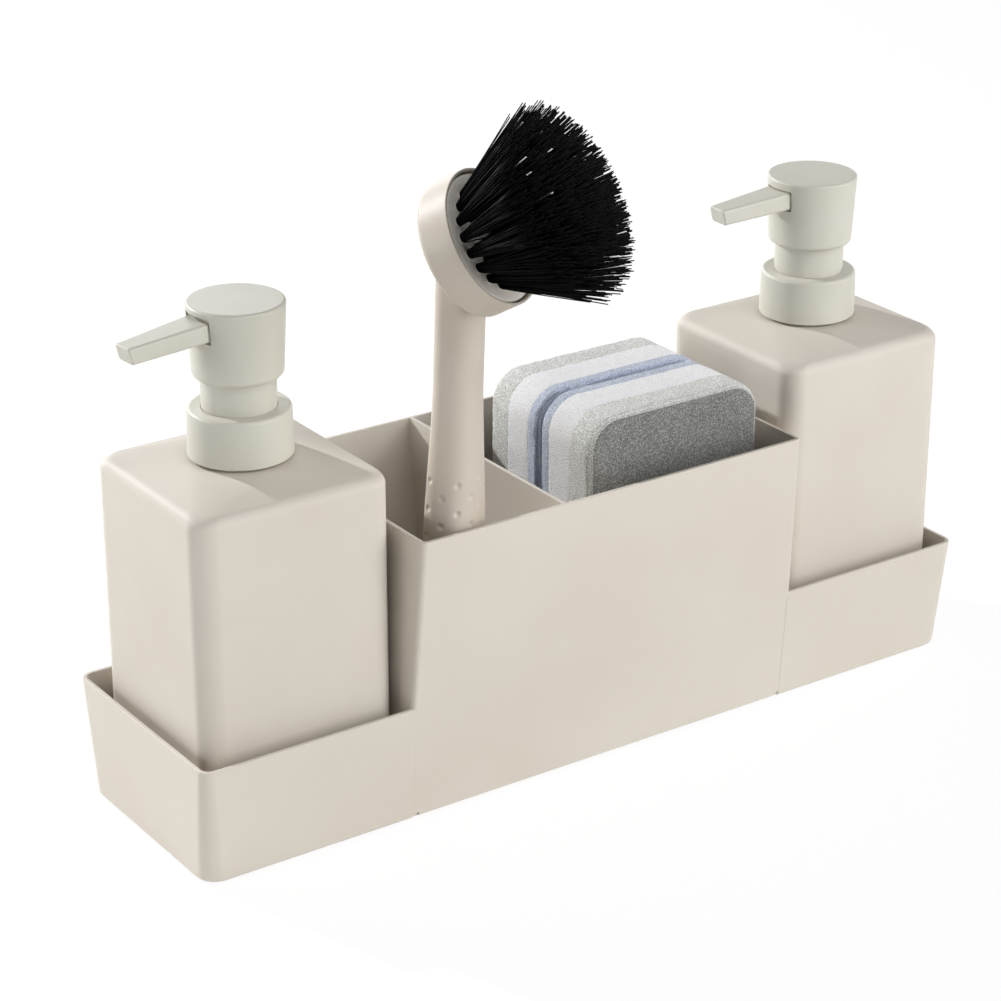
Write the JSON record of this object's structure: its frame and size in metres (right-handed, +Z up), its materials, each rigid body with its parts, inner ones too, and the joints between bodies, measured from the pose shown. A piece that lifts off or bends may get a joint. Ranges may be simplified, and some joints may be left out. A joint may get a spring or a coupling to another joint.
{
  "type": "sink caddy",
  "caption": "Sink caddy with pump soap dispensers in low end trays and a tall divided middle box that holds a dish brush and layered sponges.",
  "frame": {"origin": "on the surface the feet stand on, below the middle of the whole outline", "axes": "+X along the caddy to the right seen from the front, +Y to the rear, +Z up"},
  "size_m": [0.331, 0.147, 0.2563],
  "materials": {
    "moulded_caddy": "fine matt moulded surface, warm beige",
    "bottle_plastic": "matt blown plastic, warm beige",
    "pump_plastic": "satin moulded plastic, slightly greener beige",
    "inner_pump_plastic": "natural translucent white plastic",
    "spring_steel": "bright drawn stainless wire and ball",
    "scrub_layer": "coarse gray scrub foam",
    "foam_layer": "fine white foam with a cool cast",
    "soft_layer": "soft blue gray layer",
    "black_nylon": "black nylon strands",
    "brush_plate": "light gray plate that holds the tufts",
    "foot_rubber": "dark soft rubber"
  },
  "bodies": {
    "caddy": {"caddy_body": "moulded_caddy", "foot_front_left": "foot_rubber", "foot_front_right": "foot_rubber", "foot_rear_left": "foot_rubber", "foot_rear_right": "foot_rubber"},
    "left_bottle_shell": {"left_bottle": "bottle_plastic"},
    "left_pump_base": {"left_pump_cylinder": "inner_pump_plastic", "left_pump_guide": "pump_plastic", "left_gasket": "foot_rubber", "left_dip_tube": "inner_pump_plastic", "left_spring": "spring_steel"},
    "left_closure": {"left_collar": "pump_plastic"},
    "left_plunger": {"left_piston": "inner_pump_plastic"},
    "left_spout_head": {"left_pump_head": "pump_plastic", "left_stem": "inner_pump_plastic"},
    "left_inlet_valve": {"left_valve_ball": "spring_steel"},
    "right_bottle_shell": {"right_bottle": "bottle_plastic"},
    "right_pump_base": {"right_pump_cylinder": "inner_pump_plastic", "right_pump_guide": "pump_plastic", "right_gasket": "foot_rubber", "right_dip_tube": "inner_pump_plastic", "right_spring": "spring_steel"},
    "right_closure": {"right_collar": "pump_plastic"},
    "right_plunger": {"right_piston": "inner_pump_plastic"},
    "right_spout_head": {"right_pump_head": "pump_plastic", "right_stem": "inner_pump_plastic"},
    "right_inlet_valve": {"right_valve_ball": "spring_steel"},
    "brush": {"brush_handle": "moulded_caddy", "brush_plate": "brush_plate", "brush_bristles": "black_nylon"},
    "front_sponge": {"front_sponge_scrub_layer": "scrub_layer", "front_sponge_foam_layer": "foam_layer", "front_sponge_soft_layer": "soft_layer"},
    "rear_sponge": {"rear_sponge_scrub_layer": "scrub_layer", "rear_sponge_foam_layer": "foam_layer", "rear_sponge_soft_layer": "soft_layer"}
  },
  "joints": [
    {"name": "left_bottle_lift", "type": "slide", "parent": "caddy", "child": "left_bottle_shell", "axis": [0, 0, 1], "range_m": [0, 0.15]},
    {"name": "left_pump_rise", "type": "slide", "parent": "left_bottle_shell", "child": "left_pump_base", "axis": [0, 0, 1], "range_m": [0, 0.0063]},
    {"name": "left_collar_unscrew", "type": "hinge", "parent": "left_pump_base", "child": "left_closure", "pos_m": [-0.12105, 0.02428, 0.143], "axis": [0, 0, 1], "range_deg": [0, 541]},
    {"name": "left_press", "type": "slide", "parent": "left_pump_base", "child": "left_plunger", "axis": [0, 0, 1], "range_m": [-0.0105, 0], "stiffness_N_per_m": 400, "springref_m": 0.012, "deforming": ["left_spring"]},
    {"name": "left_head_swivel", "type": "hinge", "parent": "left_plunger", "child": "left_spout_head", "pos_m": [-0.12105, 0.02428, 0.175], "axis": [0, 0, 1], "continuous": true},
    {"name": "left_ball_lift", "type": "slide", "parent": "left_pump_base", "child": "left_inlet_valve", "axis": [0, 0, 1], "range_m": [0, 0.0012]},
    {"name": "right_bottle_lift", "type": "slide", "parent": "caddy", "child": "right_bottle_shell", "axis": [0, 0, 1], "range_m": [0, 0.15]},
    {"name": "right_pump_rise", "type": "slide", "parent": "right_bottle_shell", "child": "right_pump_base", "axis": [0, 0, 1], "range_m": [0, 0.0063]},
    {"name": "right_collar_unscrew", "type": "hinge", "parent": "right_pump_base", "child": "right_closure", "pos_m": [0.12427, 0.02428, 0.143], "axis": [0, 0, 1], "range_deg": [0, 541]},
    {"name": "right_press", "type": "slide", "parent": "right_pump_base", "child": "right_plunger", "axis": [0, 0, 1], "range_m": [-0.0105, 0], "stiffness_N_per_m": 400, "springref_m": 0.012, "deforming": ["right_spring"]},
    {"name": "right_head_swivel", "type": "hinge", "parent": "right_plunger", "child": "right_spout_head", "pos_m": [0.12427, 0.02428, 0.175], "axis": [0, 0, 1], "continuous": true},
    {"name": "right_ball_lift", "type": "slide", "parent": "right_pump_base", "child": "right_inlet_valve", "axis": [0, 0, 1], "range_m": [0, 0.0012]},
    {"name": "brush_lift", "type": "slide", "parent": "caddy", "child": "brush", "axis": [-0.0113, -0.0732, 0.9973], "range_m": [0, 0.14]},
    {"name": "front_sponge_lift", "type": "slide", "parent": "caddy", "child": "front_sponge", "axis": [0, 0, 1], "range_m": [0, 0.13]},
    {"name": "rear_sponge_lift", "type": "slide", "parent": "caddy", "child": "rear_sponge", "axis": [0, 0, 1], "range_m": [0, 0.13]}
  ],
  "couplings": [
    {"joint": "left_collar_unscrew", "follows": "left_pump_rise", "rad_per_m": 1496},
    {"joint": "right_collar_unscrew", "follows": "right_pump_rise", "rad_per_m": 1496}
  ]
}
